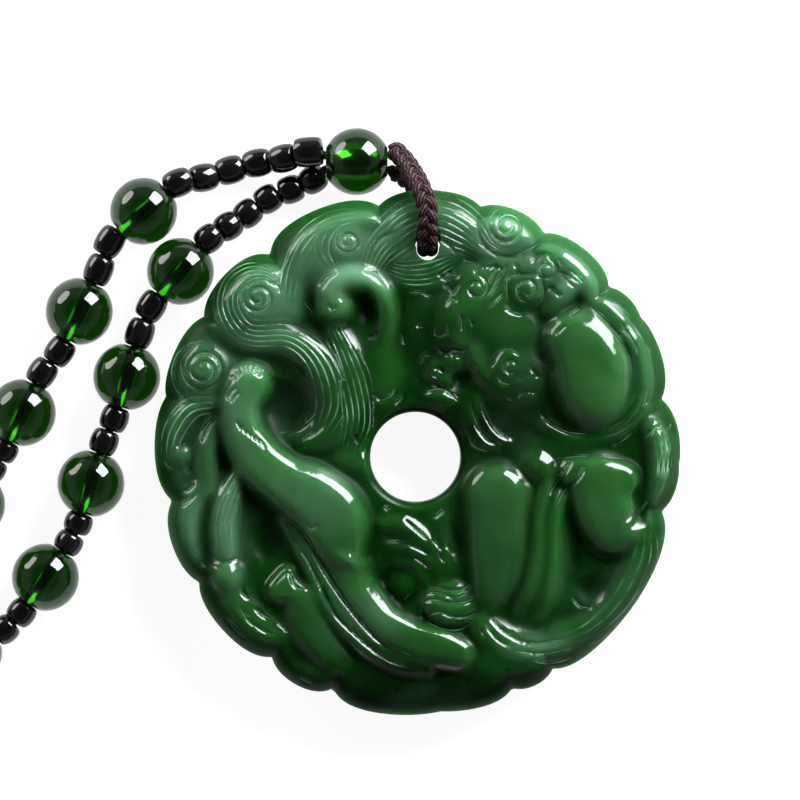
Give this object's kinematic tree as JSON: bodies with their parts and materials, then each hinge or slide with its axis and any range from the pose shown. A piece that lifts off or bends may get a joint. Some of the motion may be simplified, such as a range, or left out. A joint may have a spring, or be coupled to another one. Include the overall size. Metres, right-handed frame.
{
  "type": "carved jade ring pendant",
  "caption": "Round carved stone pendant with a lobed rim and a hole in its middle, a coiled dragon in relief, on a braided loop and a necklace of glass beads.",
  "frame": {"origin": "bottom centre of the pendant's own box, without its cords and beads", "axes": "+X to the right and +Y up on the carved face, towards the bore; +Z out of the carved face, up from the table"},
  "size_m": [0.1474, 0.0843, 0.0093],
  "materials": {
    "jade": "polished green stone, milky on the raised forms",
    "green_glass": "polished dark green glass",
    "black_glass": "polished black glass",
    "braided_cord": "burgundy braid",
    "string": "dark brown string"
  },
  "bodies": {
    "root": {"pendant": "jade", "braided_loop": "braided_cord", "string_a": "string", "string_b": "string", "necklace_coil": "green_glass", "bead_top": "green_glass", "bead_a1": "green_glass", "bead_a2": "green_glass", "bead_a3": "green_glass", "bead_a4": "green_glass", "bead_b1": "green_glass", "bead_b2": "green_glass", "bead_b3": "green_glass", "bead_b4": "green_glass", "bead_b5": "green_glass", "barrel_bead": "black_glass", "seed_a1": "black_glass", "seed_a2": "black_glass", "seed_a3": "black_glass", "seed_a4": "black_glass", "seed_a5": "black_glass", "seed_a6": "black_glass", "seed_a7": "black_glass", "seed_a8": "black_glass", "seed_a9": "black_glass", "seed_a10": "black_glass", "seed_a11": "black_glass", "seed_a12": "black_glass", "seed_a13": "black_glass", "seed_b1": "black_glass", "seed_b2": "black_glass", "seed_b3": "black_glass", "seed_b4": "black_glass", "seed_b5": "black_glass", "seed_b6": "black_glass", "seed_b7": "black_glass", "seed_b8": "black_glass", "seed_b9": "black_glass", "seed_b10": "black_glass", "seed_b11": "black_glass", "seed_b12": "black_glass", "seed_b13": "black_glass", "seed_b14": "black_glass", "seed_b15": "black_glass"}
  },
  "joints": []
}
